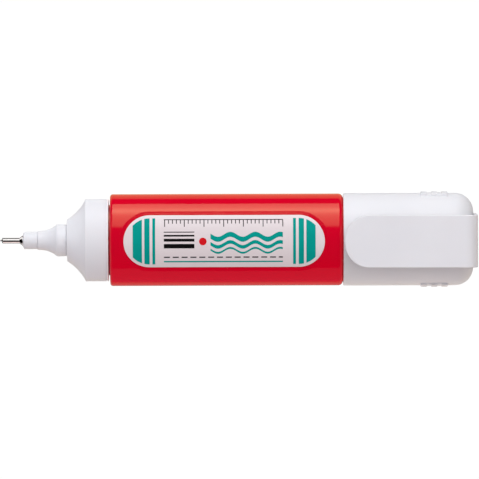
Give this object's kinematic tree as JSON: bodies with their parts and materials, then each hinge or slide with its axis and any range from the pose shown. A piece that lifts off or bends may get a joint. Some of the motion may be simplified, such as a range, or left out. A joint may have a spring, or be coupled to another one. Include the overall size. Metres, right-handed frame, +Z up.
{
  "type": "correction pen",
  "caption": "Oval squeeze-bottle correction pen with a sprung needle-valve metal tip, trumpet-shaped collar, recessed front label and a ribbed cap with a wide clip posted on the rear.",
  "frame": {"origin": "on the surface the pen lies on, under the middle of its bounding box", "axes": "+X along the pen from tip to clip end, +Z up out of the label, +Y across the width"},
  "size_m": [0.119, 0.0238, 0.0213],
  "materials": {
    "red_gloss_plastic": "polished moulded red plastic",
    "white_gloss_plastic": "polished moulded white plastic",
    "white_satin_plastic": "moulded white plastic with a soft gloss",
    "natural_plastic": "uncoloured moulded plastic",
    "label_film": null,
    "tip_steel": "polished drawn steel",
    "spring_steel": "drawn spring wire",
    "ball_steel": "tumbled steel ball",
    "grey_rubber": "moulded rubber"
  },
  "bodies": {
    "body": {"barrel": "red_gloss_plastic", "front_label": "label_film", "front_collar": "white_gloss_plastic", "neck_gasket": "grey_rubber", "nozzle": "white_gloss_plastic", "tip_ferrule": "white_gloss_plastic", "metal_tip": "tip_steel", "valve_spring": "spring_steel", "spring_retainer": "natural_plastic"},
    "cap": {"cap_shell": "white_satin_plastic", "inner_cap": "natural_plastic"},
    "clip": {"pocket_clip": "white_satin_plastic"},
    "valve": {"valve_pin": "tip_steel", "valve_plunger": "natural_plastic"},
    "ball": {"mixing_ball": "ball_steel"}
  },
  "joints": [
    {"name": "cap_slide", "type": "slide", "parent": "body", "child": "cap", "axis": [1, 0, 0], "range_m": [0, 0.03]},
    {"name": "clip_flex", "type": "hinge", "parent": "cap", "child": "clip", "pos_m": [0.05867, 0, 0.0051], "axis": [0, 1, 0], "range_deg": [0, 5], "stiffness_Nm_per_rad": 0.27},
    {"name": "valve_slide", "type": "slide", "parent": "body", "child": "valve", "axis": [1, 0, 0], "range_m": [0, 0.0004], "stiffness_N_per_m": 500, "springref_m": -0.001, "deforming": ["valve_spring"]},
    {"name": "ball_slide", "type": "slide", "parent": "body", "child": "ball", "axis": [1, 0, 0], "range_m": [-0.036, 0.0132]}
  ]
}
